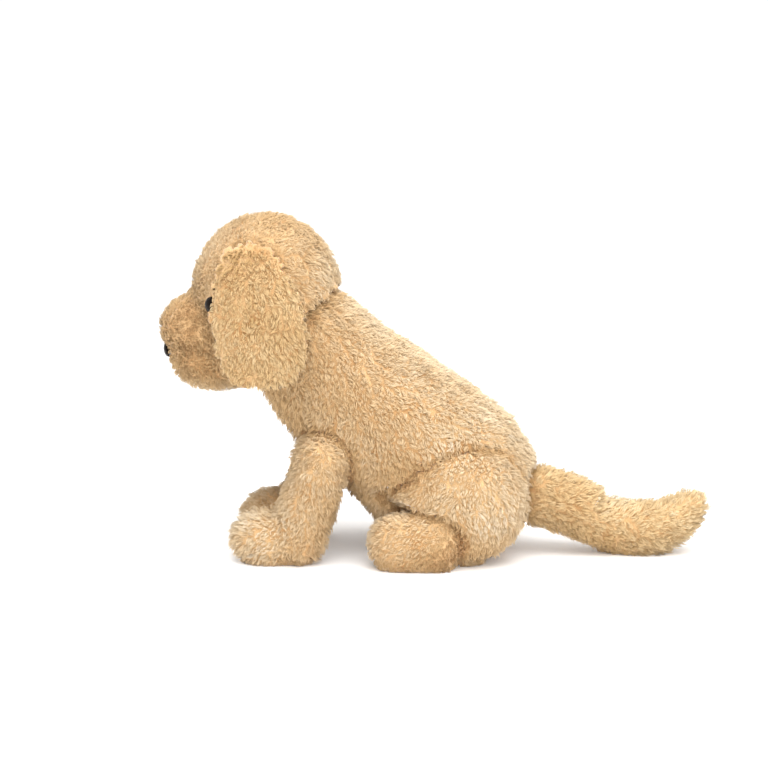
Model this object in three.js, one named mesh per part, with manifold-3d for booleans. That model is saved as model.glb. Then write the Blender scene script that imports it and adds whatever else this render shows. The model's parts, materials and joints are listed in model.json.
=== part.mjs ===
// A seated plush puppy, in millimetres, +Z up, facing -Y, with its left side on +X.
// The origin is the middle of the object's box, on the surface it sits on.
// Covers are thin shells of plush cut into the panels that are sewn together, fillings are the
// stuffing inside them, and each limb turns about the seam that holds it to the body.

import * as THREE from 'three';
import { mergeVertices } from 'three/addons/utils/BufferGeometryUtils.js';
import Module from 'manifold-3d';

const wasm = await Module();
wasm.setup();

// ---------- driving dimensions ----------

const PLUSH = 3; // thickness of backing and pressed pile
const GAP = 0.3; // between pieces that touch
const CLEAR = 0.7; // between pieces that move past each other

const NECK = [0, -85, 140]; // centre of the ball where the head turns and nods
const NECK_BALL = 40;
const NECK_POCKET = 42;
const NECK_CORE = 33;
const TURN = 20; // degrees to each side
const NOD_DOWN = 12;

const HEAD = [0, -109, 169];
const HEAD_RADII = [48.5, 49, 53.5];
const JAW = [0, -120, 139];
const JAW_RADII = [40, 36, 30];
const MUZZLE = [0, -146, 148];
const MUZZLE_RADII = [28, 33.5, 25];
const LIP = [0, -141, 129];
const LIP_RADII = [27, 32, 22];
const CROWN_HALF = 12; // half width of the gusset from nose to nape
const CHIN_SEAM = 122; // height where the crown gusset ends and the chin gusset begins

const EYE_Y = -139.5;
const EYE_Z = 167.5;
const EYE_RADIUS = 5.6;
const NOSE = [0, -172.6, 133.5]; // where its back rests on the plush, between the muzzle and the lip
const NOSE_FACING = [0, -1, -0.12];
const NOSE_RADIUS = 5.4;
const NOSE_STRETCH = 1.35; // width of the nose over its height
const NOSE_POCKET = 0.8; // room around the nose in the plush
const SHANK_RADIUS = 1.9;
const SHANK_LENGTH = 11;
const WASHER_RADIUS = 6.5;
const WASHER_THICKNESS = 1.4;
const WASHER_DEPTH = 4.8; // below the plush surface
const NOSE_WASHER_DEPTH = 7.2;
const BUTTON_RIM = 0.8; // height of the straight edge under a bead's dome
const EYE_DOME = 3.6;
const NOSE_DOME = 3;

const EAR_TOP = 208;
const EAR_LENGTH = 92;
const EAR_HALF = 33;
const EAR_MIDDLE = -105.5;
const EAR_THICKNESS = 11;
const EAR_PLY_GAP = 0.36; // from the middle sheet to each layer
const EAR_SHEET = [57, 60, 57.5]; // radii of the larger ellipsoid that the ear lies on

const BELLY_HALF = 15; // half width of the gusset down the chest and under the seat
const BELLY_SIDE = [0, -40, 62]; // the gusset is all of the cover in front of a plane through here
const BELLY_FACING = [0, -0.69, -0.73];

const SHOULDER = [33, -71.5, 66.5];
const SHOULDER_RADII = [26, 19.5, 19.5];
const SHOULDER_INNER = 24; // distance of the shoulder's inner face from the middle plane
const LEG_LENGTH = 67;
const LEG_ANGLE = 18; // how far the foreleg leans forward of straight down
const LEG_LEAN = 13; // how far it leans in towards the other one
const SWING_BACK = 5;
const SWING_FORWARD = 60;
const PAW = [32, -104.5, 16.5];
const PAW_RADII = [19.5, 27.5, 18.5];

const HIP = [30, 15.5, 40];
const HAUNCH_RADII = [33, 46, 40];
const HIP_BACK = 5;
const HIP_FORWARD = 10;
const ANKLE = [47, 1, 17.5];
const TOE = [47, -24, 17];
const FOOT_WIDTH = 35;
const FOOT_HEIGHT = 40;
const FOOT_DOWN = 5;
const FOOT_UP = 10;
const SOLE = 4; // thickness of the sole pads

const TAIL_ROOT = [0, 67, 38];
const TAIL_BEND = [0, 115, 19];
const WAG = 35;
const CURL = 45;

const POUCH = [0, 14, 17];
const POUCH_RADII = [26, 27, 15];

// Stations along a soft tube: its centre line and its full width and depth there.
const TORSO = [
  { at: NECK, width: 2 * NECK_BALL, depth: 2 * NECK_BALL },
  { at: [0, -59, 110.5], width: 92, depth: 92 },
  { at: [0, -19, 78], width: 104, depth: 104 },
  { at: [0, 13.5, 48.5], width: 104, depth: 110 },
];
const FORELEG = [
  { at: [42, -71.5, 63], width: 36, depth: 35 },
  { at: [38, -80, 40], width: 36, depth: 39 },
  { at: [34, -89.5, 12], width: 36, depth: 38 },
];
const FOOT = [
  { at: ANKLE, width: FOOT_WIDTH, depth: FOOT_HEIGHT },
  { at: TOE, width: FOOT_WIDTH, depth: FOOT_HEIGHT - 2 },
];
const TAIL_BASE = [
  { at: TAIL_ROOT, width: 38, depth: 40 },
  { at: [0, 90, 31], width: 39, depth: 40 },
  { at: TAIL_BEND, width: 38, depth: 37 },
];
const TAIL_TIP = [
  { at: TAIL_BEND, width: 35, depth: 35 },
  { at: [0, 138, 17], width: 35, depth: 34 },
  { at: [0, 155, 21], width: 32, depth: 33 },
  { at: [0, 166.5, 30.5], width: 24, depth: 24 },
];

// ---------- colours ----------

const SANDY = 0xdcbb85;
const GOLDEN = 0xdfb26c;
const SANDY_LIGHT = 0xe2c594;
const STUFFING = 0xf4f2ec;
const LINEN = 0xe9e1cf;
const BLACK = 0x0b0a09;
const CLEAR_PLASTIC = 0xd9dadb;

const plush = (color) => new THREE.MeshStandardMaterial({ color, roughness: 0.95, metalness: 0 });
const glossy = (color) => new THREE.MeshStandardMaterial({ color, roughness: 0.12, metalness: 0 });
const matte = (color) => new THREE.MeshStandardMaterial({ color, roughness: 0.5, metalness: 0 });

// ---------- solids ----------

const vec = (p) => new THREE.Vector3(...p);
const X_AXIS = [1, 0, 0];
const Y_AXIS = [0, 1, 0];
const Z_AXIS = [0, 0, 1];

// A closed three.js geometry as a solid that can be joined and cut.
function solid(geometry) {
  const bare = geometry.clone();
  bare.deleteAttribute('normal');
  bare.deleteAttribute('uv');
  const merged = mergeVertices(bare, 1e-4);
  return new wasm.Manifold(
    new wasm.Mesh({
      numProp: 3,
      vertProperties: merged.getAttribute('position').array,
      triVerts: new Uint32Array(merged.index.array),
    }),
  );
}

// The other way round: a solid's surface as a three.js geometry.
function surface(shape) {
  const mesh = shape.getMesh();
  const geometry = new THREE.BufferGeometry();
  geometry.setAttribute('position', new THREE.BufferAttribute(mesh.vertProperties, 3));
  geometry.setIndex(new THREE.BufferAttribute(mesh.triVerts, 1));
  return geometry;
}

const moved = (shape, matrix) => solid(surface(shape).applyMatrix4(matrix));
const joined = (...shapes) => shapes.reduce((all, one) => all.add(one));
const cutBy = (shape, ...tools) => tools.reduce((rest, tool) => rest.subtract(tool), shape);

// The same solid on the other side of the dog, with its faces turned to point out again.
function mirrored(shape) {
  const geometry = surface(shape).scale(-1, 1, 1);
  const index = geometry.index.array;
  for (let i = 0; i < index.length; i += 3) [index[i], index[i + 1]] = [index[i + 1], index[i]];
  return solid(geometry);
}

function turned(shape, pivot, axis, degrees) {
  const about = new THREE.Matrix4().makeTranslation(vec(pivot));
  const turn = new THREE.Matrix4().makeRotationAxis(vec(axis), THREE.MathUtils.degToRad(degrees));
  const back = new THREE.Matrix4().makeTranslation(vec(pivot).negate());
  return moved(shape, about.multiply(turn).multiply(back));
}

// All the space on one side of a plane, as a large box.
function halfSpace(point, direction) {
  const size = 800;
  const box = new THREE.BoxGeometry(size, size, size).translate(0, 0, size / 2);
  const facing = new THREE.Quaternion().setFromUnitVectors(vec(Z_AXIS), vec(direction).normalize());
  return solid(box.applyQuaternion(facing).translate(...point));
}

const above = (z) => halfSpace([0, 0, z], Z_AXIS);
const below = (z) => halfSpace([0, 0, z], [0, 0, -1]);
const leftOf = (x) => halfSpace([x, 0, 0], X_AXIS);
const rightOf = (x) => halfSpace([x, 0, 0], [-1, 0, 0]);

function ellipsoid(centre, radii, inset = 0, around = 20, rings = 12) {
  const [a, b, c] = radii.map((r) => r - inset);
  const ball = new THREE.SphereGeometry(1, around, rings).rotateX(Math.PI / 2);
  return solid(ball.scale(a, b, c).translate(...centre));
}

const sphere = (centre, radius) => ellipsoid(centre, [radius, radius, radius], 0, 16, 10);

// A capsule bent along a smooth centre line, with a width and a depth that change along it.
function softTube(stations, inset = 0, around = 20, along = 8, cap = 4) {
  const spine = new THREE.CatmullRomCurve3(stations.map(({ at }) => vec(at)));
  const halves = stations.map(({ width, depth }) => vec([width / 2 - inset, depth / 2 - inset, 0]));
  const sizes = new THREE.CatmullRomCurve3(halves);
  const geometry = new THREE.CapsuleGeometry(1, 1, cap, around, along);
  const position = geometry.getAttribute('position');
  for (let i = 0; i < position.count; i += 1) {
    const capsule = new THREE.Vector3().fromBufferAttribute(position, i);
    const t = THREE.MathUtils.clamp(capsule.y + 0.5, 0, 1);
    const pastEnd = capsule.y + 0.5 - t;
    const size = sizes.getPoint(t);
    const ahead = spine.getTangent(t);
    const side = vec(X_AXIS).projectOnPlane(ahead).normalize();
    const front = new THREE.Vector3().crossVectors(side, ahead);
    const point = spine.getPoint(t);
    point.addScaledVector(side, capsule.x * size.x);
    point.addScaledVector(front, capsule.z * size.y);
    point.addScaledVector(ahead, (pastEnd * (size.x + size.y)) / 2);
    position.setXYZ(i, point.x, point.y, point.z);
  }
  return solid(geometry);
}

// A cover is the outer form less the same form drawn in by the plush; the filling fits inside.
const coverOf = (form) => form(0).subtract(form(PLUSH));
const fillingOf = (form) => form(PLUSH + GAP);

const dog = new THREE.Group();

function piece(name, shape, material) {
  const mesh = new THREE.Mesh(surface(shape), material);
  mesh.name = name;
  dog.add(mesh);
}

// A left piece and its mirror image on the right.
function pair(name, shape, material) {
  piece(`left_${name}`, shape, material);
  piece(`right_${name}`, mirrored(shape), material);
}

// ---------- outer forms, each drawn in by an inset ----------

const torsoForm = (inset) => softTube(TORSO, inset, 18, 4, 3).intersect(above(inset));

// The nose rests in a flat pocket, which keeps the head's form the same thickness around it.
const nosePocket = (inset) => {
  const radius = NOSE_RADIUS + NOSE_POCKET + inset;
  const reach = 20;
  const pocket = new THREE.CylinderGeometry(radius, radius, reach, 12);
  return onNose(widened(pocket.translate(0, reach / 2 - inset, 0)));
};

const headForm = (inset) => joined(
  ellipsoid(HEAD, HEAD_RADII, inset, 18, 10),
  ellipsoid(JAW, JAW_RADII, inset, 12, 6),
  ellipsoid(MUZZLE, MUZZLE_RADII, inset, 14, 7),
  ellipsoid(LIP, LIP_RADII, inset, 12, 6),
).subtract(nosePocket(inset));

const forelegForm = (inset) => joined(
  ellipsoid(SHOULDER, SHOULDER_RADII, inset, 14, 8).intersect(leftOf(SHOULDER_INNER + inset)),
  softTube(FORELEG, inset, 12, 2, 1),
  ellipsoid(PAW, PAW_RADII, inset, 14, 8),
).intersect(above(inset));

const haunchForm = (inset) => ellipsoid(HIP, HAUNCH_RADII, inset, 18, 10)
  .intersect(leftOf(HIP[0] + GAP + Math.max(0, inset - PLUSH)));

const footForm = (inset) => softTube(FOOT, inset, 12, 1, 3).intersect(above(inset));

const tailBaseForm = (inset) => softTube(TAIL_BASE, inset, 12, 3, 2).intersect(above(inset));
const tailTipForm = (inset) => softTube(TAIL_TIP, inset, 12, 4, 2).intersect(above(inset));

// ---------- ears ----------

// The ear's outline: nearly straight down the front edge, rounder behind, narrower at the seam.
function earOutline(angle) {
  const up = (1 + Math.sin(angle)) / 2;
  const front = Math.cos(angle) < 0;
  const across = Math.abs(Math.cos(angle)) ** (front ? 0.5 : 0.7) * (front ? -1 : 1);
  const narrowed = 1 - (front ? 0.2 : 0.36) * up * up;
  return [-8 * up + EAR_HALF * across * narrowed, EAR_LENGTH * (up - 0.5)];
}

// Distance from the dog's middle plane to the sheet that the ear lies on.
function earSheet(y, z) {
  const [a, b, c] = EAR_SHEET;
  const alongY = (y - HEAD[1]) / b;
  const alongZ = Math.max(0, z - HEAD[2] + 4) / c;
  return a * Math.sqrt(Math.max(0.1, 1 - alongY ** 2 - alongZ ** 2));
}

// One layer of the left ear: outward is 1 for the outer panel, -1 for the lining, 0 for both.
function earLayer(outward, inset = 0) {
  const geometry = new THREE.SphereGeometry(1, 16, 6);
  const position = geometry.getAttribute('position');
  const half = EAR_THICKNESS / 2 - inset;
  for (let i = 0; i < position.count; i += 1) {
    const ball = new THREE.Vector3().fromBufferAttribute(position, i);
    const reach = Math.hypot(ball.x, ball.z);
    const [across, up] = earOutline(Math.atan2(ball.x, ball.z));
    const spread = 1 - inset / EAR_HALF;
    const y = EAR_MIDDLE + across * reach * spread;
    const z = EAR_TOP - EAR_LENGTH / 2 + up * reach * spread;
    const swell = outward * ball.y < 0 ? 0 : ball.y;
    const thinned = 1 - 0.6 * Math.max(0, up / EAR_LENGTH + 0.5) ** 2;
    const x = earSheet(y, z) + swell * half * thinned + outward * EAR_PLY_GAP;
    position.setXYZ(i, x, y, z);
  }
  return solid(geometry);
}

// ---------- eyes and nose ----------

// A dome on a shank, and the washer that locks it from inside, both turned about +Y.
function button(radius, height) {
  const profile = [new THREE.Vector2(0, -SHANK_LENGTH), new THREE.Vector2(SHANK_RADIUS, -SHANK_LENGTH)];
  profile.push(new THREE.Vector2(SHANK_RADIUS, GAP), new THREE.Vector2(radius - GAP, GAP));
  const steps = 4;
  for (let i = 0; i <= steps; i += 1) {
    const angle = (i / steps) * (Math.PI / 2);
    profile.push(new THREE.Vector2(radius * Math.cos(angle), BUTTON_RIM + height * Math.sin(angle)));
  }
  profile[profile.length - 1].x = 0;
  return new THREE.LatheGeometry(profile, 12);
}

function washer(depth) {
  const hole = SHANK_RADIUS + GAP;
  const top = -depth;
  const profile = [[hole, top - WASHER_THICKNESS], [WASHER_RADIUS, top - WASHER_THICKNESS]];
  profile.push([WASHER_RADIUS, top], [hole, top], profile[0]);
  return new THREE.LatheGeometry(profile.map(([r, y]) => new THREE.Vector2(r, y)), 12);
}

const shankHole = () => new THREE.CylinderGeometry(SHANK_RADIUS + GAP, SHANK_RADIUS + GAP, 40, 12);
const washerRoomDepth = SHANK_LENGTH + 2;
const washerRoom = () => new THREE.CylinderGeometry(WASHER_RADIUS + 1, WASHER_RADIUS + 1, 20, 12)
  .translate(0, 20 / 2 - washerRoomDepth, 0);

// Puts what is turned about +Y at a point, facing along a direction.
function restingAt(at, facing) {
  const turn = new THREE.Quaternion().setFromUnitVectors(vec(Y_AXIS), facing);
  return (geometry) => solid(geometry.applyQuaternion(turn).translate(...at));
}

// The same on the surface of an ellipsoid, in a direction from its centre.
function seatOn(centre, radii, direction) {
  const scale = 1 / Math.hypot(...direction.map((d, i) => d / radii[i]));
  const at = direction.map((d, i) => centre[i] + d * scale);
  return restingAt(at, vec(direction.map((d, i) => d / radii[i] ** 2)).normalize());
}

const eyeAcross = HEAD_RADII[0] * Math.sqrt(
  1 - ((EYE_Y - HEAD[1]) / HEAD_RADII[1]) ** 2 - ((EYE_Z - HEAD[2]) / HEAD_RADII[2]) ** 2,
);
const onEye = seatOn(HEAD, HEAD_RADII, [eyeAcross, EYE_Y - HEAD[1], EYE_Z - HEAD[2]]);
const onNose = restingAt(NOSE, vec(NOSE_FACING).normalize());
const widened = (geometry) => geometry.scale(NOSE_STRETCH, 1, 1);

// ---------- room for what moves ----------

// The outline of the wedge that a straight-sided limb fills as it turns in a plane: its near edge at
// the first angle, its far edge at the last, and a point between them that covers the arc. Angles
// are in degrees from the plane's first direction towards its second.
function wedge(pivot, halfWidth, length, fromAngle, toAngle) {
  const corner = (angle, side, reach) => {
    const a = THREE.MathUtils.degToRad(angle);
    const across = side * halfWidth;
    return new THREE.Vector2(
      pivot[0] + reach * Math.cos(a) - across * Math.sin(a),
      pivot[1] + reach * Math.sin(a) + across * Math.cos(a),
    );
  };
  const outline = [new THREE.Vector2(...pivot), corner(fromAngle, -1, 0), corner(fromAngle, -1, length)];
  outline.push(corner((fromAngle + toAngle) / 2, 0, Math.SQRT2 * length));
  outline.push(corner(toAngle, 1, length), corner(toAngle, 1, 0));
  return new THREE.Shape(outline);
}

// A wedge in the YZ plane, as thick as from one x to another.
function sideWedge(pivot, halfWidth, length, fromAngle, toAngle, fromX, toX) {
  const outline = wedge([pivot[1], pivot[2]], halfWidth, length, fromAngle, toAngle);
  const plate = new THREE.ExtrudeGeometry(outline, { depth: toX - fromX, bevelEnabled: false });
  plate.rotateY(Math.PI / 2).rotateX(Math.PI / 2);
  return solid(plate.translate(fromX, 0, 0));
}

// A wedge in the XY plane, as thick as from one z to another.
function flatWedge(pivot, halfWidth, length, fromAngle, toAngle, fromZ, toZ) {
  const outline = wedge([pivot[0], pivot[1]], halfWidth, length, fromAngle, toAngle);
  const plate = new THREE.ExtrudeGeometry(outline, { depth: toZ - fromZ, bevelEnabled: false });
  return solid(plate.translate(0, 0, fromZ));
}

const LEG_HALF = FORELEG[2].depth / 2 + CLEAR;
const FOOT_HALF = FOOT_HEIGHT / 2 + CLEAR;
const TAIL_HALF = TAIL_BASE[1].width / 2 + CLEAR;
const TIP_HALF = TAIL_TIP[0].depth / 2 + CLEAR;
const OUTSIDE = 80; // past the widest part of the dog, from the middle plane
const LEG_ROOM_INNER = SHOULDER_INNER - 7;
const FOOT_ROOM_INNER = HIP[0] - 2;
const FOOT_REACH = 60;
const FOOT_REACH_AT_HIP = 45;
const TAIL_REACH = 60;
const TAIL_ROOM_HALF = 22;

const shoulderRoom = ellipsoid(SHOULDER, SHOULDER_RADII, -2 * CLEAR, 16, 8)
  .intersect(leftOf(SHOULDER_INNER - GAP));
const forelegRoom = sideWedge(
  SHOULDER,
  LEG_HALF,
  LEG_LENGTH,
  270 - LEG_ANGLE - SWING_FORWARD,
  270 - LEG_ANGLE + SWING_BACK,
  LEG_ROOM_INNER,
  OUTSIDE,
);
const haunchRoom = ellipsoid(HIP, HAUNCH_RADII, -4 * CLEAR, 18, 10).intersect(leftOf(HIP[0]));
const heelRoomWidth = OUTSIDE - FOOT_ROOM_INNER;
const heelRoom = solid(new THREE.CylinderGeometry(FOOT_HALF, FOOT_HALF, heelRoomWidth, 18)
  .rotateZ(Math.PI / 2)
  .translate(FOOT_ROOM_INNER + heelRoomWidth / 2, ANKLE[1], ANKLE[2]));
const footRoom = sideWedge(
  ANKLE,
  FOOT_HALF,
  FOOT_REACH,
  180 - FOOT_UP,
  180 + FOOT_DOWN,
  FOOT_ROOM_INNER,
  OUTSIDE,
);
const footAtHip = sideWedge(
  ANKLE,
  FOOT_HALF,
  FOOT_REACH_AT_HIP,
  180 - FOOT_UP - HIP_FORWARD,
  180 + FOOT_DOWN + HIP_BACK,
  FOOT_ROOM_INNER,
  OUTSIDE,
);
const tailRoom = joined(
  sphere(TAIL_ROOT, TAIL_HALF),
  flatWedge(
    TAIL_ROOT,
    TAIL_HALF,
    TAIL_REACH,
    90 - WAG,
    90 + WAG,
    TAIL_ROOT[2] - TAIL_ROOM_HALF,
    TAIL_ROOT[2] + TAIL_ROOM_HALF,
  ),
);
const tipRoom = joined(
  sphere(TAIL_BEND, TIP_HALF),
  sideWedge(TAIL_BEND, TIP_HALF, TAIL_REACH, -15, CURL, -OUTSIDE, OUTSIDE),
);

// ---------- body ----------

function body() {
  const sideRooms = [shoulderRoom, forelegRoom, haunchRoom, heelRoom, footAtHip];
  const rooms = [...sideRooms, ...sideRooms.map(mirrored), tailRoom];
  const cover = cutBy(coverOf(torsoForm), ...rooms);
  const band = (margin) => halfSpace(BELLY_SIDE.map((c, i) => c - margin * BELLY_FACING[i]), BELLY_FACING)
    .intersect(leftOf(-BELLY_HALF - margin))
    .intersect(rightOf(BELLY_HALF + margin));
  const gusset = band(0);
  const gussetRoom = band(GAP);

  piece('body_left_panel', cover.intersect(leftOf(GAP / 2)).subtract(gussetRoom), plush(SANDY));
  piece('body_right_panel', cover.intersect(rightOf(-GAP / 2)).subtract(gussetRoom), plush(SANDY));
  piece('body_belly_gusset', cover.intersect(gusset), plush(SANDY_LIGHT));

  const pouchFloor = PLUSH + 2 * GAP;
  const pouch = ellipsoid(POUCH, POUCH_RADII, 0, 14, 8).intersect(above(pouchFloor));
  const pouchRoom = ellipsoid(POUCH, POUCH_RADII, -GAP, 14, 8);
  const neckTop = halfSpace([0, NECK[1] + 6, NECK[2] - 6], [0, -0.6, 0.8]);
  const filling = cutBy(
    fillingOf(torsoForm),
    ...rooms,
    sphere(NECK, NECK_CORE + 2 * CLEAR),
    neckTop,
    pouchRoom,
  );
  piece('body_filling', filling, plush(STUFFING));
  piece('bean_pouch', pouch, plush(LINEN));
  piece('neck_filling', sphere(NECK, NECK_CORE), plush(STUFFING));
}

// ---------- head ----------

function head() {
  const neck = softTube(TORSO, -3 * CLEAR, 14, 3, 2);
  const socket = joined(
    sphere(NECK, NECK_POCKET),
    neck,
    turned(neck, NECK, X_AXIS, -NOD_DOWN / 2),
    turned(neck, NECK, X_AXIS, -NOD_DOWN),
    ...[TURN, -TURN].map((angle) => turned(neck, NECK, Z_AXIS, angle)),
    ...[TURN, -TURN].map((angle) => turned(turned(neck, NECK, Z_AXIS, angle), NECK, X_AXIS, -NOD_DOWN)),
  );
  const holes = [onEye(shankHole()), mirrored(onEye(shankHole())), onNose(widened(shankHole()))];
  const cover = cutBy(coverOf(headForm), socket, ...holes);
  const band = leftOf(-CROWN_HALF).intersect(rightOf(CROWN_HALF));

  piece('head_left_panel', cover.intersect(leftOf(CROWN_HALF + GAP)), plush(SANDY));
  piece('head_right_panel', cover.intersect(rightOf(-CROWN_HALF - GAP)), plush(SANDY));
  piece('head_crown_gusset', cover.intersect(band).intersect(above(CHIN_SEAM + GAP)), plush(SANDY));
  piece('head_chin_gusset', cover.intersect(band).intersect(below(CHIN_SEAM)), plush(SANDY_LIGHT));

  const eyeRoom = onEye(washerRoom());
  const noseRoom = onNose(widened(washerRoom()));
  const filling = cutBy(fillingOf(headForm), socket, eyeRoom, mirrored(eyeRoom), noseRoom);
  piece('head_filling', filling, plush(STUFFING));

  pair('eye', onEye(button(EYE_RADIUS, EYE_DOME)), glossy(BLACK));
  pair('eye_washer', onEye(washer(WASHER_DEPTH)), matte(CLEAR_PLASTIC));
  piece('nose', onNose(widened(button(NOSE_RADIUS, NOSE_DOME))), glossy(BLACK));
  piece('nose_washer', onNose(widened(washer(NOSE_WASHER_DEPTH))), matte(CLEAR_PLASTIC));

  pair('ear_outer', earLayer(1), plush(GOLDEN));
  pair('ear_lining', earLayer(-1), plush(GOLDEN));
}

// ---------- legs ----------

function forelegs() {
  const cover = coverOf(forelegForm);
  const lean = THREE.MathUtils.degToRad(LEG_LEAN);
  const outward = [Math.cos(lean), 0, -Math.sin(lean)];
  const inward = outward.map((c) => -c);
  const beside = (side) => halfSpace(PAW.map((c, i) => c + (GAP / 2) * side[i]), side);
  const upper = above(SOLE);

  pair('foreleg_outer', cover.intersect(beside(outward)).intersect(upper), plush(SANDY));
  pair('foreleg_inner', cover.intersect(beside(inward)).intersect(upper), plush(SANDY));
  pair('forepaw_sole', forelegForm(0).intersect(below(SOLE - GAP)), plush(SANDY_LIGHT));
  pair('foreleg_filling', forelegForm(PLUSH + GAP).intersect(above(SOLE + GAP)), plush(STUFFING));
}

function hindLegs() {
  pair('haunch_cover', cutBy(coverOf(haunchForm), heelRoom, footRoom), plush(SANDY));
  pair('haunch_filling', cutBy(fillingOf(haunchForm), heelRoom, footRoom), plush(STUFFING));
  pair('foot_upper', coverOf(footForm).intersect(above(SOLE)), plush(SANDY));
  pair('foot_sole', footForm(0).intersect(below(SOLE - GAP)), plush(SANDY_LIGHT));
  pair('foot_filling', fillingOf(footForm).intersect(above(SOLE + GAP)), plush(STUFFING));
}

// ---------- tail ----------

function tail() {
  const bend = halfSpace(TAIL_BEND, [0, 0.95, -0.3]);
  const baseCover = cutBy(coverOf(tailBaseForm), tipRoom, bend);
  const tipCover = coverOf(tailTipForm);
  const sides = { left: leftOf(GAP / 2), right: rightOf(-GAP / 2) };
  for (const [side, half] of Object.entries(sides)) {
    piece(`tail_base_${side}_panel`, baseCover.intersect(half), plush(GOLDEN));
    piece(`tail_tip_${side}_panel`, tipCover.intersect(half), plush(GOLDEN));
  }
  piece('tail_base_filling', cutBy(fillingOf(tailBaseForm), tipRoom, bend), plush(STUFFING));
  piece('tail_tip_filling', fillingOf(tailTipForm), plush(STUFFING));
}

body();
head();
forelegs();
hindLegs();
tail();

export default dog;
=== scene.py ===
"""The looks of a sitting plush dog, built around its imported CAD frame.

Plush is made in three steps. A closed form is remeshed from the solids of a body, or of several bodies
whose coat runs on from one to the next, then smoothed and drawn in by the depth of its pile. It is cut along
the real seams into panels, each a sheet of cloth with its thickness. Pile then grows on the panels as
separate closed hairs, gathered in small locks and combed the way the coat lies.

Lengths are in metres, the dog faces -Y, its left is +X, and it sits on Z = 0.
"""

import json
import math

import bmesh
import bpy
import numpy as np
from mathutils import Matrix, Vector, kdtree
from mathutils.bvhtree import BVHTree


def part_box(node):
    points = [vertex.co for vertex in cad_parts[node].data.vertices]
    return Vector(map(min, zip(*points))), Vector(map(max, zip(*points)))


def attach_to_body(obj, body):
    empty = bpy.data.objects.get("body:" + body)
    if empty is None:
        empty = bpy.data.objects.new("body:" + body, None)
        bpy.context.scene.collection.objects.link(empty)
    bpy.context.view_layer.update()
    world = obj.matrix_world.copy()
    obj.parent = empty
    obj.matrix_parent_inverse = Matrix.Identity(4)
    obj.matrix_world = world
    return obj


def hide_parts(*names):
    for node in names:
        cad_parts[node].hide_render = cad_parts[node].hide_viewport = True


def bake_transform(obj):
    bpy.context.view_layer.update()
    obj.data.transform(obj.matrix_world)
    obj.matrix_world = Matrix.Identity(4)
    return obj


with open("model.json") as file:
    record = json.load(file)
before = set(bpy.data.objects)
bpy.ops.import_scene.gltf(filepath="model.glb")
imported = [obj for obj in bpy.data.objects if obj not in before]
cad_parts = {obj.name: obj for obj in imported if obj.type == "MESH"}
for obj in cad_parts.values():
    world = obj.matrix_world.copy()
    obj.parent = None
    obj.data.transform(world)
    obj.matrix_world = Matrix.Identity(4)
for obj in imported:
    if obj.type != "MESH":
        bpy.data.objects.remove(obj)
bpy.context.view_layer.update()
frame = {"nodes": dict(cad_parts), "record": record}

MM = 0.001
SIDES = {"left": 1.0, "right": -1.0}
ACROSS = (1, 0, 0)
LEVEL = (0, 0, 1)

# the forms under the coat
VOXEL = 2.6 * MM
EAR_VOXEL = 1.8 * MM
SMOOTH_ROUNDS = 6
SHRINK_STEP, GROW_STEP = 0.5, -0.52  # shares of the way to the neighbours' mean, in turn
JOINT_ROUNDS = 45
JOINT_END_ROUNDS = 6
JOINT_REACH = 11 * MM
JOINT_CORE = 0.2  # share of a joint's reach in which its crease is filled in full
TAIL_JOINT_REACH = 24 * MM
CUT_SNAP = 0.05 * MM

# cloth
CLOTH = 0.9 * MM
CLEAR_OF_FILLING = 0.25 * MM
FILLING_REACH = 6 * MM  # how far from the filling the cloth is kept clear of it
DEPTH_OF_PILE = 0.32  # how far the cloth lies under the CAD surface, as a share of the pile's length
DEEPEST = 1.8 * MM
EAR_DEEPEST = 0.7 * MM
DEPTH_AT_BEAD = 0.1  # share of that depth left at a bead
BEAD_REACH = 2.6  # how far from its middle a bead changes the depth, in radii
UNDER_COAT = 0.8 * MM  # how far from the coat's surface a body's cloth counts as tucked in
SEAM_DEPTH = 0.8 * MM
SEAM_REACH = 3.5 * MM
CREASE_DEPTH = 1.8 * MM
CREASE_REACH = 5 * MM
FLOOR_GAP = 0.3 * MM
FLAT_BELOW = 5.0 * MM  # what faces down below this height is set flat
FACES_DOWN = -0.5

# pile
LOCKS_PER_MM2 = 0.14
GUARD_HAIRS_PER_MM2 = 0.68
UNDER_HAIRS_PER_MM2 = 0.9
GUARD_RADIUS = 0.23 * MM
UNDER_RADIUS = 0.28 * MM
GUARD_LENGTHS = 0.8, 1.15  # the shortest and longest, as shares of the lock's length
UNDER_LENGTHS = 0.55, 0.95
MOST_TRIANGLES = 180000
SHORTEST_HAIR = 1.6 * MM
ROOT_DEPTH = 0.4 * MM
SPOT_SIZE = 4 * MM  # below this distance a spot's pull levels off
SPOT_FALL = 1.6
ROOM_LOOKED_FOR = 80 * MM
MOST_ROOM = 20 * MM
TIGHT_ROOM = 1.4 * MM  # no pile grows where the next surface is nearer than this
ROOM_USED = 0.9
LENGTH_AT_SEAM = 0.75  # share of a hair's length left at a seam
LENGTH_AT_BEAD = 0.4
BEAD_MARGIN = 6 * MM  # how far from a bead its pile is shorter
LENGTH_SPREAD = 0.16
RADII = 0.75, 1.2  # the thinnest and thickest hairs, as shares of their kind's radius
TONE_SPREAD = 0.035
HAIR_TONE_SPREAD = 0.03
TONE_PATCH = 34 * MM
SWIRL_SIZE = 15 * MM
SWIRL = 0.42
LOCK_WOBBLE = 0.28
HAIR_WOBBLE = 0.3
LOCK_PULL = 0.45, 0.9  # how far a hair's tip is drawn to its lock's, at least and at most
MIDDLE_PULL = 0.45  # how much of that its middle is drawn
FOLD_REACH = 11 * MM
FOLD_SHADE = 0.38  # painted shade: how much darker the pile's tone is made in a fold or along a crease
TONES = 64
SEED = 11


# ================================================================ small tools
def unit(v):
    """Each row of v at length one."""
    return v / np.maximum(np.linalg.norm(v, axis=-1, keepdims=True), 1e-12)


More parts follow.
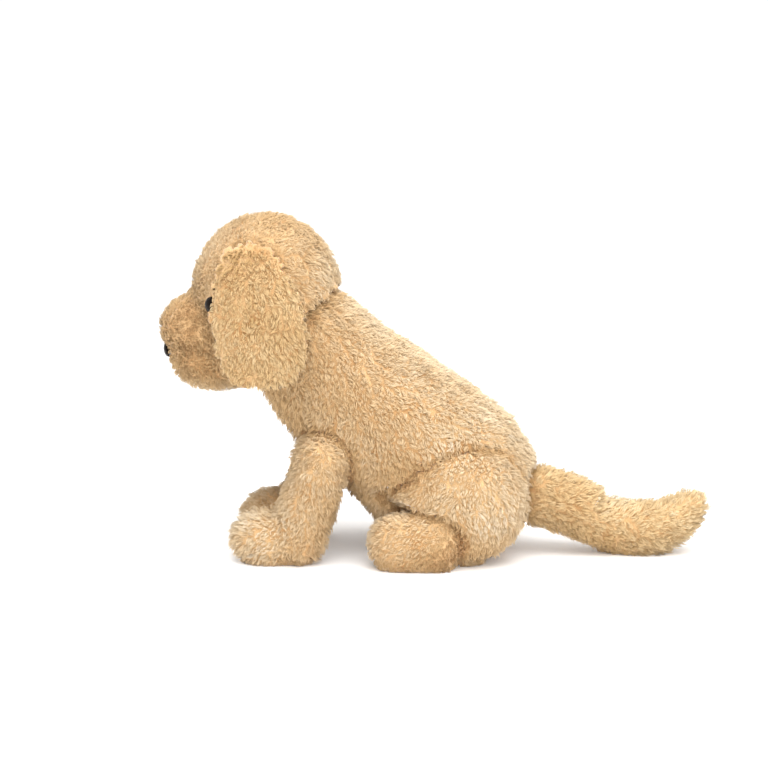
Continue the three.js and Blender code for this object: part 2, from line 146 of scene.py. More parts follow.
def smoothstep(x, low, high):
    t = np.clip((x - low) / (high - low), 0, 1)
    return t * t * (3 - 2 * t)


def waves(points, size, seed, count=7):
    """Smooth noise of about -1 to 1 at each point, from a few plane waves about size long."""
    rng = np.random.default_rng(seed)
    turns = unit(rng.normal(size=(count, 3))) * rng.uniform(0.7, 1.4, (count, 1)) * (2 * math.pi / size)
    return np.sin(points @ turns.T + rng.uniform(0, 2 * math.pi, count)).sum(1) / math.sqrt(count)


def mesh_object(name, mesh):
    ob = bpy.data.objects.new(name, mesh)
    bpy.context.scene.collection.objects.link(ob)
    return ob


def apply_modifiers(ob):
    """Puts what ob's modifiers make into its own mesh."""
    graph = bpy.context.evaluated_depsgraph_get()
    made = bpy.data.meshes.new_from_object(ob.evaluated_get(graph))
    ob.modifiers.clear()
    ob.data = made


def read_vectors(collection, name):
    values = np.empty(len(collection) * 3)
    collection.foreach_get(name, values)
    return values.reshape(-1, 3)


def set_points(mesh, points):
    mesh.vertices.foreach_set("co", points.astype(np.float32).ravel())
    mesh.update()


def solid_tree(*nodes):
    """The surface of some CAD nodes, for finding the nearest point on it."""
    points, faces = [], []
    for node in nodes:
        mesh = frame["nodes"][node].data
        faces += [[i + len(points) for i in p.vertices] for p in mesh.polygons]
        points += [v.co for v in mesh.vertices]
    return BVHTree.FromPolygons(points, faces)


def distances(tree, points):
    return np.array([tree.find_nearest(p)[3] for p in points])


def far_from(places, points):
    """How far each point is from the nearest of some places."""
    tree = kdtree.KDTree(len(places))
    for i, place in enumerate(places):
        tree.insert(place, i)
    tree.balance()
    return np.array([tree.find(p)[2] if len(places) else 1.0 for p in points])


# ================================================================ camera, light and floor
AIM = Vector((0, -0.033, 0.111))
CAMERA_AZIMUTH, CAMERA_ELEVATION, CAMERA_DISTANCE = 92, 10, 1.387
FLOOR_HALF = 6.0


def link_aimed(ob, place):
    ob.location = place
    ob.rotation_euler = (AIM - Vector(place)).to_track_quat("-Z", "Y").to_euler()
    bpy.context.scene.collection.objects.link(ob)


def make_camera():
    azimuth, elevation = math.radians(CAMERA_AZIMUTH), math.radians(CAMERA_ELEVATION)
    level = math.cos(elevation)
    back = Vector((math.sin(azimuth) * level, -math.cos(azimuth) * level, math.sin(elevation)))
    data = bpy.data.cameras.new("camera")
    data.lens = 100
    data.clip_end = 50
    camera = bpy.data.objects.new("camera", data)
    link_aimed(camera, AIM + back * CAMERA_DISTANCE)
    bpy.context.scene.camera = camera


def make_light(name, place, size, power):
    data = bpy.data.lights.new(name, "AREA")
    data.size = size
    data.energy = power
    link_aimed(bpy.data.objects.new(name, data), place)


def make_studio():
    make_light("key", (0.9, 0.2, 2.0), 1.8, 48)
    make_light("fill", (2.2, 0.6, 0.8), 1.6, 14)
    world = bpy.data.worlds.new("studio")
    bpy.context.scene.world = world
    world.use_nodes = True
    background = world.node_tree.nodes["Background"]
    background.inputs["Color"].default_value = (1, 1, 1, 1)
    background.inputs["Strength"].default_value = 1.06
    mesh = bpy.data.meshes.new("floor")
    corners = [(x * FLOOR_HALF, y * FLOOR_HALF, 0) for x, y in ((-1, -1), (1, -1), (1, 1), (-1, 1))]
    mesh.from_pydata(corners, [], [(0, 1, 2, 3)])
    white = (0.97, 0.97, 0.97, 1)
    # The floor glows a little as painted light, which lifts the shadows cast on it.
    paper = new_material("glowing_floor_paper", 0.9, Base_Color=white, Emission_Color=white, Emission_Strength=0.08)
    mesh.materials.append(paper)
    mesh_object("floor", mesh)
    bpy.context.scene.view_settings.view_transform = "Standard"


# ================================================================ materials
def new_material(name, roughness, **sockets):
    """A material whose Principled sockets, named in words with _ for a space, hold the given values."""
    mat = bpy.data.materials.new(name)
    mat.use_nodes = True
    shader = mat.node_tree.nodes["Principled BSDF"]
    shader.inputs["Roughness"].default_value = roughness
    for socket, value in sockets.items():
        shader.inputs[socket.replace("_", " ")].default_value = value
    return mat


def linear(red, green, blue):
    """A colour given as 0 to 255 screen values, as linear light."""
    return tuple(((c / 255 + 0.055) / 1.055) ** 2.4 for c in (red, green, blue)) + (1.0,)


# The coat's colours, from brown to the pale tips on the head; the painted shade in folds moves the pile
# towards the brown end.
COAT_COLOURS = [
    (0.00, linear(150, 106, 66)),
    (0.25, linear(182, 142, 98)),
    (0.50, linear(206, 171, 124)),
    (0.70, linear(221, 191, 150)),
    (0.85, linear(230, 206, 170)),
    (1.00, linear(241, 224, 198)),
]
# Painted shade deep in the pile: a hair's colour is darker towards its root.
ROOT_SHADE = [(0.0, (0.74, 0.68, 0.60, 1)), (0.6, (1, 1, 1, 1))]


def add_ramp(tree, stops, factor):
    ramp = tree.nodes.new("ShaderNodeValToRGB")
    while len(ramp.color_ramp.elements) < len(stops):
        ramp.color_ramp.elements.new(0.5)
    for element, (place, colour) in zip(ramp.color_ramp.elements, stops):
        element.position = place
        element.color = colour
    tree.links.new(factor, ramp.inputs[0])
    return ramp.outputs[0]


def add_math(tree, operation, a, b=0.0):
    """A Math node of a socket and a number."""
    node = tree.nodes.new("ShaderNodeMath")
    node.operation = operation
    node.inputs[1].default_value = b
    tree.links.new(a, node.inputs[0])
    return node.outputs[0]


def add_product(tree, a, b):
    node = tree.nodes.new("ShaderNodeMix")
    node.data_type = "RGBA"
    node.blend_type = "MULTIPLY"
    node.inputs[0].default_value = 1
    tree.links.new(a, node.inputs[6])
    tree.links.new(b, node.inputs[7])
    return node.outputs[2]


def base_colour(tree):
    return tree.nodes["Principled BSDF"].inputs["Base Color"]


def pile_material(name, tint):
    """Hair: its tone is the U of its map, in steps, and V runs from 0 at the root to 1 at the tip."""
    mat = new_material(
        name,
        0.85,
        Sheen_Weight=0.4,
        Sheen_Roughness=0.45,
        Sheen_Tint=linear(255, 238, 210),
        Specular_IOR_Level=0.15,
    )
    tree = mat.node_tree
    uv = tree.nodes.new("ShaderNodeUVMap")
    uv.uv_map = "OFBake"
    split = tree.nodes.new("ShaderNodeSeparateXYZ")
    tree.links.new(uv.outputs[0], split.inputs[0])
    step = add_math(tree, "FLOOR", add_math(tree, "MULTIPLY", split.outputs["X"], TONES))
    colours = [(place, (*(c * t for c, t in zip(colour, tint)), 1)) for place, colour in COAT_COLOURS]
    tone = add_ramp(tree, colours, add_math(tree, "DIVIDE", step, TONES - 1))
    # painted shade deep in the pile: darker towards each hair's root
    depth = add_ramp(tree, ROOT_SHADE, split.outputs["Y"])
    tree.links.new(add_product(tree, tone, depth), base_colour(tree))
    return mat


def add_bump(tree, height, distance):
    bump = tree.nodes.new("ShaderNodeBump")
    bump.inputs["Distance"].default_value = distance
    tree.links.new(height, bump.inputs["Height"])
    tree.links.new(bump.outputs[0], tree.nodes["Principled BSDF"].inputs["Normal"])


def add_texture(tree, kind, scale, **sockets):
    """A texture over the object's own coordinates."""
    place = tree.nodes.new("ShaderNodeTexCoord")
    texture = tree.nodes.new("ShaderNodeTex" + kind)
    tree.links.new(place.outputs["Object"], texture.inputs["Vector"])
    for socket, value in {"Scale": scale, **sockets}.items():
        texture.inputs[socket].default_value = value
    return texture


def backing_material():
    """The knitted backing that the pile grows from."""
    mat = new_material("plush_backing", 0.95, Sheen_Weight=0.3)
    tree = mat.node_tree
    patches = add_texture(tree, "Noise", 60, Detail=4)
    colours = [(0.3, linear(186, 142, 92)), (0.7, linear(218, 182, 134))]
    tree.links.new(add_ramp(tree, colours, patches.outputs["Fac"]), base_colour(tree))
    knit = add_texture(tree, "Voronoi", 900)
    add_bump(tree, knit.outputs["Distance"], 0.4 * MM)
    return mat


def set_material(ob, mat):
    ob.data.materials.clear()
    ob.data.materials.append(mat)


# ================================================================ where and how the coat grows
class Spot:
    """A place on the coat, in mm: the length and tone of its pile, and how that is combed and leans.

    The tone runs from 0, brown, to 1, pale, and the lean is in degrees from upright.
    """

    def __init__(self, at, length, tone, comb, lean=50):
        self.at = np.array(at) * MM
        self.length = length * MM
        self.tone = tone
        self.comb = np.array(comb, float)
        self.lean = math.radians(lean)


class Coat:
    """The pile over one or more bodies, shared between its spots by how near they are.

    The spots are on the dog's left, and its right side mirrors them.
    """

    def __init__(self, *spots):
        self.spots = spots

    def at(self, points):
        """Length, tone, comb and lean at each point."""
        side = np.where(points[:, :1] < 0, -1.0, 1.0) * (1, 0, 0) + (0, 1, 1)
        near = points * side
        places = np.array([s.at for s in self.spots])
        weight = 1 / (((near[:, None] - places) ** 2).sum(2) + SPOT_SIZE**2) ** SPOT_FALL
        weight /= weight.sum(1, keepdims=True)
        return (
            weight @ np.array([s.length for s in self.spots]),
            weight @ np.array([s.tone for s in self.spots]),
            (weight @ np.array([s.comb for s in self.spots])) * side,
            weight @ np.array([s.lean for s in self.spots]),
        )


HEAD_COAT = Coat(
    Spot((0, -105, 222), 4.2, 0.54, (0, 1, 0), 60),
    Spot((30, -115, 212), 4.2, 0.58, (0.2, 1, -0.2)),
    Spot((15, -152, 200), 3.8, 0.68, (0, 0.5, 1)),
    Spot((30, -146, 185), 3.6, 0.62, (0.3, 0.6, 0.8)),
    Spot((0, -168, 163), 3.6, 0.56, (0, 0.4, 1), 60),
    Spot((24, -160, 155), 4.8, 0.33, (0.1, 1, -0.1), 52),
    Spot((26, -150, 130), 5.0, 0.38, (0, 1, -0.5), 52),
    Spot((0, -177, 147), 3.8, 0.48, (0, 0.3, 1), 58),
    Spot((0, -170, 120), 6.0, 0.48, (0, 0.3, -1), 36),
    Spot((0, -145, 107), 5.2, 0.66, (0, 1, -0.3)),
    Spot((38, -118, 135), 5.0, 0.48, (0, 1, -0.6)),
    Spot((48, -105, 165), 5.0, 0.62, (0, 0.9, -0.6)),
    Spot((20, -62, 175), 5.5, 0.80, (0, 0.5, -1), 60),
)
BODY_COAT = Coat(
    Spot((0, -45, 150), 6.0, 0.78, (0, 0.6, -0.6)),
    Spot((40, -75, 130), 6.2, 0.60, (0, 0.5, -1)),
    Spot((0, -110, 95), 6.5, 0.48, (0, 0, -1)),
    Spot((30, -100, 85), 6.0, 0.50, (0, 0.1, -1)),
    Spot((0, -100, 76), 7.5, 0.46, (0, -0.1, -1), 44),
    Spot((0, -5, 128), 5.6, 0.84, (0, 0.8, -0.6)),
    Spot((30, 0, 112), 5.6, 0.78, (0.2, 0.7, -0.7)),
    Spot((0, 50, 80), 5.6, 0.86, (0, 0.5, -0.9)),
    Spot((52, -30, 90), 6.0, 0.66, (0, 0.6, -0.8)),
    Spot((45, -20, 55), 5.5, 0.52, (0, 0.5, -0.8)),
    Spot((0, -60, 55), 5.0, 0.25, (0, 0.5, -0.8)),
    Spot((0, 20, 5), 3.0, 0.25, (0, 1, 0)),
    Spot((52, -76, 80), 5.5, 0.68, (0, 0, -1)),
    Spot((58, -76, 55), 5.2, 0.76, (0, -0.1, -1)),
    Spot((54, -92, 30), 5.0, 0.78, (0, -0.2, -1)),
    Spot((40, -118, 28), 4.8, 0.86, (0, -0.9, -0.5), 44),
    Spot((48, -110, 12), 4.6, 0.84, (0.2, -0.7, -0.4), 44),
    Spot((34, -128, 10), 5.0, 0.80, (0, -0.6, -0.6), 40),
    Spot((36, -66, 10), 6.0, 0.66, (0, 0.7, -0.6), 40),
    Spot((18, -90, 45), 5.0, 0.34, (0, 0, -1)),
    Spot((35, -62, 35), 5.0, 0.42, (0, 0, -1)),
    Spot((32, -100, 0), 1.8, 0.40, (0, 1, 0)),
    Spot((50, 15, 80), 5.6, 0.82, (0, 0.1, -1)),
    Spot((63, 10, 50), 5.2, 0.82, (0, -0.2, -1)),
    Spot((60, 35, 35), 5.2, 0.88, (0, 0.1, -1)),
    Spot((58, -20, 42), 5.0, 0.72, (0, -0.4, -1)),
    Spot((45, 20, 5), 4.0, 0.60, (0, 0.3, -0.4)),
    Spot((47, -20, 40), 4.0, 0.78, (0, -1, -0.1)),
    Spot((47, -42, 22), 4.0, 0.76, (0, -0.7, -0.7)),
    Spot((64, -20, 20), 4.2, 0.74, (0.2, -0.7, -0.5)),
    Spot((64, -6, 22), 4.2, 0.62, (0.2, -0.6, -0.5)),
    Spot((60, 12, 12), 4.4, 0.26, (0.3, -0.2, -0.8)),
    Spot((47, -20, 0), 1.8, 0.35, (0, 1, 0)),
)
TAIL_COAT = Coat(
    Spot((0, 75, 58), 6.5, 0.72, (0, 1, -0.3)),
    Spot((20, 90, 32), 6.5, 0.68, (0, 1, 0)),
    Spot((0, 120, 36), 6.0, 0.84, (0, 1, 0)),
    Spot((18, 140, 20), 6.5, 0.78, (0, 1, 0.1)),
    Spot((0, 170, 34), 6.5, 0.78, (0, 0.9, 0.5)),
    Spot((0, 110, 2), 4.0, 0.56, (0, 1, 0)),
)
EAR_COAT = Coat(
    Spot((38, -110, 209), 6.5, 0.44, (0.2, 0.3, 0.5), 44),
    Spot((48, -107, 198), 6.0, 0.58, (0.3, 0.1, -1)),
    Spot((60, -100, 175), 6.4, 0.70, (0.1, 0.1, -1)),
    Spot((62, -98, 140), 6.4, 0.68, (0, 0.1, -1)),
    Spot((54, -137, 160), 3.6, 0.72, (0, 0.15, -1), 60),
    Spot((50, -78, 155), 5.8, 0.70, (0, 0.4, -1)),
    Spot((45, -105, 150), 4.5, 0.60, (0, 0, -1)),
)


# ================================================================ forms and surfaces
def remeshed(name, nodes, voxel, rounds=SMOOTH_ROUNDS):
    """One closed smooth form around some CAD nodes."""
    gathered = bmesh.new()
    for node in nodes:
        gathered.from_mesh(frame["nodes"][node].data)
    mesh = bpy.data.meshes.new(name)
    gathered.to_mesh(mesh)
    gathered.free()
    form = mesh_object(name, mesh)
    remesh = form.modifiers.new("remesh", "REMESH")
    remesh.mode = "VOXEL"
    remesh.voxel_size = voxel
    apply_modifiers(form)
    smooth(form.data, rounds)
    return form


def neighbour_mean(mesh):
    """A function that gives the mean of each point's neighbours from the points of a mesh like this."""
    edges = np.empty(len(mesh.edges) * 2, int)
    mesh.edges.foreach_get("vertices", edges)
    here = np.concatenate([edges[::2], edges[1::2]])
    there = np.concatenate([edges[1::2], edges[::2]])
    size = len(mesh.vertices)
    count = np.bincount(here, minlength=size).clip(1)[:, None]
    return lambda points: np.stack([np.bincount(here, points[there, k], size) for k in range(3)], 1) / count


def smooth(mesh, rounds):
    """Smooths a mesh without shrinking it."""
    points = read_vectors(mesh.vertices, "co")
    mean = neighbour_mean(mesh)
    for _ in range(rounds):
        for step in (SHRINK_STEP, GROW_STEP):
            points += (mean(points) - points) * step
    set_points(mesh, points)


def fill_joints(mesh, bodies, reach):
    """Fills the creases between bodies, so that the coat runs on across them.

    The bodies are given as the trees of their solids. What the smoothing takes off is put back, so that it
    only adds, and a few last rounds even out the result.
    """
    before = read_vectors(mesh.vertices, "co")
    normals = read_vectors(mesh.vertex_normals, "vector")
    far = np.sort([distances(tree, before) for tree in bodies], axis=0)
    near_joint = 1 - smoothstep(far[1] - far[0], JOINT_CORE * reach, reach)[:, None]
    mean = neighbour_mean(mesh)
    points = before
    for _ in range(JOINT_ROUNDS):
        points = points + (mean(points) - points) * near_joint * SHRINK_STEP
    points = points - np.minimum(((points - before) * normals).sum(1, keepdims=True), 0) * normals
    for _ in range(JOINT_END_ROUNDS):
        points = points + (mean(points) - points) * near_joint * SHRINK_STEP
    set_points(mesh, points)


def draw_in(mesh, coat, deepest, beads):
    """Draws a form in by the depth of its pile, though less so at a bead, and sets it down flat."""
    points = read_vectors(mesh.vertices, "co")
    normals = read_vectors(mesh.vertex_normals, "vector")
    depth = np.minimum(coat.at(points)[0] * DEPTH_OF_PILE, deepest)
    for middle, radius in beads:
        away = smoothstep(np.linalg.norm(points - middle, axis=1), radius, BEAD_REACH * radius)
        depth *= DEPTH_AT_BEAD + (1 - DEPTH_AT_BEAD) * away
    points -= normals * depth[:, None]
    flat = (points[:, 2] < FLAT_BELOW) & (normals[:, 2] < FACES_DOWN)
    points[flat, 2] = FLOOR_GAP
    set_points(mesh, points)


def keep_clear(points, filling):
    """Moves the points of some cloth out of the filling under it, and up off the floor."""
    if filling:
        tree = solid_tree(*filling)
        for i, p in enumerate(points):
            at, facing, _, _ = tree.find_nearest(p, FILLING_REACH)
            if at is not None:
                height = (Vector(p) - at).dot(facing)
                points[i] += np.array(facing) * max(0.0, CLOTH + CLEAR_OF_FILLING - height)
    points[:, 2] = np.maximum(points[:, 2], FLOOR_GAP)


class Surface:
    """A form as triangles, each on the panel whose CAD nodes are nearest. Panels are given for each body."""

    def __init__(self, form, bodies, cuts):
        self.form = form
        self.names = [name for panels in bodies for name in panels]
        body = [i for i, panels in enumerate(bodies) for _ in panels]
        nodes = [nodes for panels in bodies for nodes in panels.values()]
        mesh = bmesh.new()
        mesh.from_mesh(form.data)
        for point, normal in cuts:
            everything = [*mesh.verts, *mesh.edges, *mesh.faces]
            bmesh.ops.bisect_plane(mesh, geom=everything, dist=CUT_SNAP, plane_co=point, plane_no=normal)
        bmesh.ops.triangulate(mesh, faces=mesh.faces)
        mesh.verts.index_update()
        mesh.faces.index_update()
        middles = [face.calc_center_median() for face in mesh.faces]
        self.panel = np.argmin([distances(solid_tree(*group), middles) for group in nodes], axis=0)
        self.on_seam = np.zeros(len(mesh.verts), bool)
        self.on_own_seam = np.zeros(len(mesh.verts), bool)
        for i, v in enumerate(mesh.verts):
            panels = {self.panel[f.index] for f in v.link_faces}
            self.on_seam[i] = len(panels) > 1
            self.on_own_seam[i] = len(panels) > len({body[p] for p in panels})
        mesh.to_mesh(form.data)
        mesh.free()

    def settle(self, filling):
        """Draws the cloth in along its seams and creases, and keeps it out of the filling.

        A seam runs within a body, where stitches pull the cloth in. A crease runs where two bodies meet.
        """
        mesh = self.form.data
        points = read_vectors(mesh.vertices, "co")
        self.seam_distance = far_from(points[self.on_seam], points)
        self.creases = points[self.on_seam & ~self.on_own_seam]
        sunk = 1 - (far_from(points[self.on_own_seam], points) / SEAM_REACH).clip(0, 1)
        sunk[points[:, 2] < FLAT_BELOW] = 0
        crease = 1 - (far_from(self.creases, points) / CREASE_REACH).clip(0, 1)
        depth = SEAM_DEPTH * sunk**2 + CREASE_DEPTH * crease**2
        points -= read_vectors(mesh.vertex_normals, "vector") * depth[:, None]
        keep_clear(points, filling)
        set_points(mesh, points)
        self.points = points
        self.normals = read_vectors(mesh.vertex_normals, "vector")
        self.triangles = np.array([p.vertices for p in mesh.polygons], int)
        self.tree = BVHTree.FromPolygons(points.tolist(), self.triangles.tolist())
        bpy.data.objects.remove(self.form)

    def scatter(self, name, density, rng):
        """Random places on a panel, so many to a square millimetre.

        Gives the points, their normals and how far each is from the nearest seam.
        """
        tri = self.triangles[self.panel == self.names.index(name)]
        a, b, c = (self.points[tri[:, i]] for i in range(3))
        area = np.linalg.norm(np.cross(b - a, c - a), axis=1) / 2
        count = int(area.sum() / MM**2 * density)
        pick = rng.choice(len(tri), count, p=area / area.sum())
        u, v = rng.random((2, count))
        over = u + v > 1
        u[over], v[over] = 1 - u[over], 1 - v[over]
        share = np.stack([1 - u - v, u, v], 1)[:, :, None]
        points = (self.points[tri[pick]] * share).sum(1)
        normals = unit((self.normals[tri[pick]] * share).sum(1))
        return points, normals, (self.seam_distance[tri[pick]] * share[:, :, 0]).sum(1)

    def faces(self, name, under=None):
        """The triangles of a panel, or only those of them that lie under another surface."""
        tri = self.triangles[self.panel == self.names.index(name)]
        if under:
            tri = tri[(distances(under.tree, self.points) > UNDER_COAT)[tri].any(1)]
        return tri


def build_cloth(name, coat, own, mat):
    """One panel as a sheet of cloth.

    What shows of it lies on the coat's surface, and what is tucked in at a joint on its own body's surface.
    """
    points, faces = [coat.points], [coat.faces(name)]
    if own is not coat:
        points.append(own.points)
        faces.append(own.faces(name, coat) + len(coat.points))
    used, faces = np.unique(np.concatenate(faces), return_inverse=True)
    mesh = bpy.data.meshes.new(name + "_cloth")
    mesh.from_pydata(np.concatenate(points)[used].tolist(), [], faces.reshape(-1, 3).tolist())
    cloth = mesh_object(name + "_cloth", mesh)
    thickness = cloth.modifiers.new("thickness", "SOLIDIFY")
    thickness.thickness = CLOTH
    thickness.offset = -1
    apply_modifiers(cloth)
    points = read_vectors(cloth.data.vertices, "co")
    points[:, 2] = np.maximum(points[:, 2], FLOOR_GAP)
    set_points(cloth.data, points)
    cloth.data.polygons.foreach_set("use_smooth", [True] * len(cloth.data.polygons))
    set_material(cloth, mat)
    return cloth


# ================================================================ pile
def room_above(points, normals, trees):
    """How far each point is from the next surface along its normal, and whether it lies inside one."""
    room = np.full(len(points), MOST_ROOM)
    inside = np.zeros(len(points), bool)
    for i, (p, n) in enumerate(zip(points, normals)):
        direction = Vector(n)
        start = Vector(p) + direction * 0.1 * MM  # just off the surface
        for tree in trees:
            at, facing, _, far = tree.ray_cast(start, direction, ROOM_LOOKED_FOR)
            if at is not None and facing.dot(direction) > 0:
                inside[i] = True
            elif at is not None:
                room[i] = min(room[i], far)
    return room, inside


def bend(points, normals, length, comb, lean, wobble, rng):
    """The middle and the tip of a hair or lock from each point, combed over to its lean."""
    along = unit(comb - normals * (comb * normals).sum(1, keepdims=True))
    along = unit(along + rng.normal(size=points.shape) * wobble)
    rise, run, size = np.cos(lean)[:, None], np.sin(lean)[:, None], length[:, None]
    middle = points + size * (normals * (0.25 + 0.35 * rise) + along * 0.28 * run)
    return middle, points + size * (normals * (0.05 + 0.85 * rise) + along * 0.85 * run)


class Locks:
    """The locks of one panel: where each is rooted, bends and ends, and its length and tone."""

    def __init__(self, surface, name, coat, walls, flaps, shades, rng):
        self.at, normals, _ = surface.scatter(name, LOCKS_PER_MM2, rng)
        room, inside = room_above(self.at, normals, walls)
        under, _ = room_above(self.at, normals, flaps)
        self.alive = ~inside & (room > TIGHT_ROOM)
        self.room = np.minimum(room, under)
        far = [np.full(len(self.at), FOLD_REACH), *(distances(tree, self.at) for tree in (*walls, *shades))]
        fold = 1 - smoothstep(np.min(far, axis=0), 0, FOLD_REACH)
        crease = 1 - smoothstep(far_from(surface.creases, self.at), 0, CREASE_REACH)
        self.length, tone, comb, self.lean = coat.at(self.at)
        self.length *= 1 + LENGTH_SPREAD * rng.normal(size=len(self.at)).clip(-2, 2)
        patches = TONE_SPREAD * waves(self.at, TONE_PATCH, SEED)
        self.tone = tone + patches + TONE_SPREAD * rng.normal(size=len(self.at))
        # Painted shade: the tone is made darker in a fold near another form or an ear, and along a crease.
        self.tone -= FOLD_SHADE * np.maximum(fold, crease)
        swirl = np.stack([waves(self.at, SWIRL_SIZE, SEED + k) for k in (1, 2, 3)], 1)
        self.comb = unit(comb) + SWIRL * swirl
        self.middle, self.tip = bend(
            self.at, normals, self.length, self.comb, self.lean, LOCK_WOBBLE, rng
        )
        self.tree = kdtree.KDTree(len(self.at))
        for i, p in enumerate(self.at):
            self.tree.insert(p, i)
        self.tree.balance()

    def hairs(self, surface, name, density, lengths, beads, rng):
        """Hairs of this panel, each drawn towards its lock: root, middle, tip, skin normal and tone."""
        at, normals, seam = surface.scatter(name, density, rng)
        lock = np.array([self.tree.find(p)[1] for p in at], int)
        keep = self.alive[lock]
        for middle, radius in beads:
            keep &= np.linalg.norm(at - middle, axis=1) > radius
        at, normals, seam, lock = at[keep], normals[keep], seam[keep], lock[keep]
        size = self.length[lock] * rng.uniform(*lengths, len(at))
        size *= LENGTH_AT_SEAM + (1 - LENGTH_AT_SEAM) * smoothstep(seam, 0, SEAM_REACH)
        size = np.minimum(size, np.maximum(self.room[lock] * ROOM_USED, SHORTEST_HAIR))
        for middle, radius in beads:
            away = smoothstep(np.linalg.norm(at - middle, axis=1), radius, radius + BEAD_MARGIN)
            size *= LENGTH_AT_BEAD + (1 - LENGTH_AT_BEAD) * away
        middle, tip = bend(at, normals, size, self.comb[lock], self.lean[lock], HAIR_WOBBLE, rng)
        share = (size / self.length[lock])[:, None]
        pull = rng.uniform(*LOCK_PULL, (len(at), 1))
        origin = self.at[lock]
        tip += (origin + (self.tip[lock] - origin) * share - tip) * pull
        middle += (origin + (self.middle[lock] - origin) * share - middle) * pull * MIDDLE_PULL
        tone = (self.tone[lock] + HAIR_TONE_SPREAD * rng.normal(size=len(at))).clip(0, 0.999)
        return at - normals * ROOT_DEPTH, middle, tip, normals, tone


# A hair's corners go round three to a ring, and its last face closes it at the root. A guard hair has a
# second ring in its middle, and an under hair runs straight to its tip.
CORNERS = np.array([0, 2, 4]) * math.pi / 3
GUARD_SIDES = [(0, 1, 4), (0, 4, 3), (1, 2, 5), (1, 5, 4), (2, 0, 3), (2, 3, 5)]
GUARD_FACES = [*GUARD_SIDES, (3, 4, 6), (4, 5, 6), (5, 3, 6), (2, 1, 0)]
UNDER_FACES = [(0, 1, 3), (1, 2, 3), (2, 0, 3), (2, 1, 0)]
MIDDLE_WIDTH = 0.85
ROOT_V, MIDDLE_V, TIP_V = 0.02, 0.55, 0.98
RING_U = [0.2, 0.5, 0.8]
SKIN_SHARE, SIDE_SHARE, TIP_SHARE = 0.8, 0.45, 0.4  # what a hair's shading normals are mixed from


def hair_ring(root, tip):
    """Three directions round each hair."""
    axis = unit(tip - root)
    across = unit(np.cross(axis, np.roll(axis, 1, axis=1) + 0.31))
    other = np.cross(axis, across)
    return across[:, None] * np.cos(CORNERS)[:, None] + other[:, None] * np.sin(CORNERS)[:, None]


def hair_group(root, middle, tip, skin, tone, radius, faces):
    """Points, shading normals, faces and map of hairs of one build. Under hairs come with middle None."""
    ring = hair_ring(root, tip)
    wide = radius[:, None, None]
    soft = unit(skin[:, None] * SKIN_SHARE + ring * SIDE_SHARE)
    end = unit(skin * SKIN_SHARE + unit(tip - root) * TIP_SHARE)[:, None]
    points, normals, across, along = [root[:, None] + ring * wide], [soft], [*RING_U], [ROOT_V] * 3
    if middle is not None:
        points.append(middle[:, None] + ring * wide * MIDDLE_WIDTH)
        normals.append(soft)
        across += RING_U
        along += [MIDDLE_V] * 3
    points.append(tip[:, None])
    normals.append(end)
    across.append(0.5)
    along.append(TIP_V)
    corner = np.array(faces).ravel()
    size = len(across)
    step = np.floor(tone * TONES)[:, None]
    uv = np.empty((len(root), len(corner), 2))
    uv[:, :, 0] = (step + np.array(across)[corner]) / TONES
    uv[:, :, 1] = np.array(along)[corner]
    index = np.arange(len(root))[:, None] * size + corner
    points = np.concatenate(points, 1).reshape(-1, 3)
    normals = np.concatenate(normals, 1).reshape(-1, 3)
    return points, normals, index.ravel(), uv.reshape(-1, 2)


def hair_mesh(name, groups):
    """One mesh of all the hairs.

    Its shading normals lean towards the skin's, as light spreads inside a real pile.
    """
    shift = np.cumsum([0] + [len(g[0]) for g in groups[:-1]])
    points = np.concatenate([g[0] for g in groups])
    normals = np.concatenate([g[1] for g in groups])
    index = np.concatenate([g[2] + s for g, s in zip(groups, shift)])
    uv = np.concatenate([g[3] for g in groups])
    points[:, 2] = np.maximum(points[:, 2], FLOOR_GAP)
    mesh = bpy.data.meshes.new(name)
    mesh.vertices.add(len(points))
    mesh.vertices.foreach_set("co", points.astype(np.float32).ravel())
    mesh.loops.add(len(index))
    mesh.loops.foreach_set("vertex_index", index.astype(np.int32))
    mesh.polygons.add(len(index) // 3)
    mesh.polygons.foreach_set("loop_start", np.arange(0, len(index), 3, dtype=np.int32))
    mesh.update(calc_edges=True)
    mesh.polygons.foreach_set("use_smooth", np.ones(len(index) // 3, bool))
    soft = mesh.attributes.new("custom_normal", "FLOAT_VECTOR", "POINT")
    soft.data.foreach_set("vector", normals.astype(np.float32).ravel())
    mesh.uv_layers.new(name="OFBake").data.foreach_set("uv", uv.astype(np.float32).ravel())
    return mesh_object(name, mesh)


def grow(surface, name, coat, walls, flaps, shades, beads):
    """The pile of one panel, as one mesh or more, from the front of the panel to its back."""
    rng = np.random.default_rng([SEED, *name.encode()])
    locks = Locks(surface, name, coat, walls, flaps, shades, rng)
    hairs = []
    for density, lengths, radius, faces in (
        (GUARD_HAIRS_PER_MM2, GUARD_LENGTHS, GUARD_RADIUS, GUARD_FACES),
        (UNDER_HAIRS_PER_MM2, UNDER_LENGTHS, UNDER_RADIUS, UNDER_FACES),
    ):
        root, *rest = locks.hairs(surface, name, density, lengths, beads, rng)
        width = radius * rng.uniform(*RADII, len(root))
        order = np.argsort(root[:, 1])
        hairs.append(([column[order] for column in (root, *rest, width)], faces))
    pieces = math.ceil(sum(len(columns[0]) * len(faces) for columns, faces in hairs) / MOST_TRIANGLES)
    made = []
    for i in range(pieces):
        groups = []
        for columns, faces in hairs:
            count = len(columns[0])
            part = slice(count * i // pieces, count * (i + 1) // pieces)
            root, middle, tip, skin, tone, width = (column[part] for column in columns)
            bent = middle if faces is GUARD_FACES else None
            groups.append(hair_group(root, bent, tip, skin, tone, width, faces))
        made.append(hair_mesh(f"{name}_pile" + (f"_{i + 1}" if pieces > 1 else ""), groups))
    return made


# ================================================================ the dog
NOSE_RADIUS = 5 * MM


